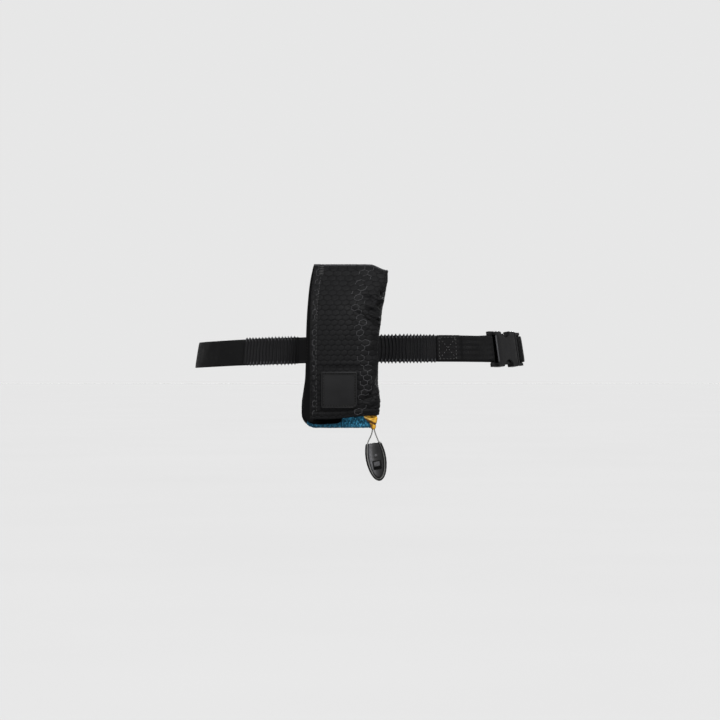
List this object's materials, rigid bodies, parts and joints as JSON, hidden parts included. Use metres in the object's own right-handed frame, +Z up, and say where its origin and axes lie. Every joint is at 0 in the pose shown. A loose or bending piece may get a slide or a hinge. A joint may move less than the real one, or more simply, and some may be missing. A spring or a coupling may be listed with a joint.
{
  "type": "inflatable belt pack",
  "caption": "Slim soft pouch on a buckled waist belt, holding a folded inflatable bladder that is freed by pulling a teardrop toggle on a cord below it.",
  "frame": {"origin": "middle of the waist at the belt's mid height", "axes": "+Z up the wearer, +X to the buckle's side, the pouch faces -Y"},
  "size_m": [0.3282, 0.275, 0.2064],
  "materials": {
    "ripstop": "coated ripstop",
    "plain_cloth": "plain weave",
    "lining": "brushed",
    "bladder": "coated",
    "rubber": "matte",
    "webbing": "woven",
    "elastic": "gathered",
    "cord": "braided",
    "buckle": "satin",
    "toggle": "satin"
  },
  "bodies": {
    "root": {"pouch_front": "ripstop", "pouch_back": "plain_cloth", "pouch_side": "plain_cloth", "lining_flap": "lining", "bladder": "bladder", "patch": "rubber", "belt_tunnel": "webbing", "elastic_band": "elastic", "strap_short": "webbing", "strap_long": "webbing", "pull_cord": "cord", "buckle_socket": "buckle", "buckle_clip": "buckle", "toggle_shell": "toggle", "toggle_plate": "toggle"}
  },
  "joints": []
}
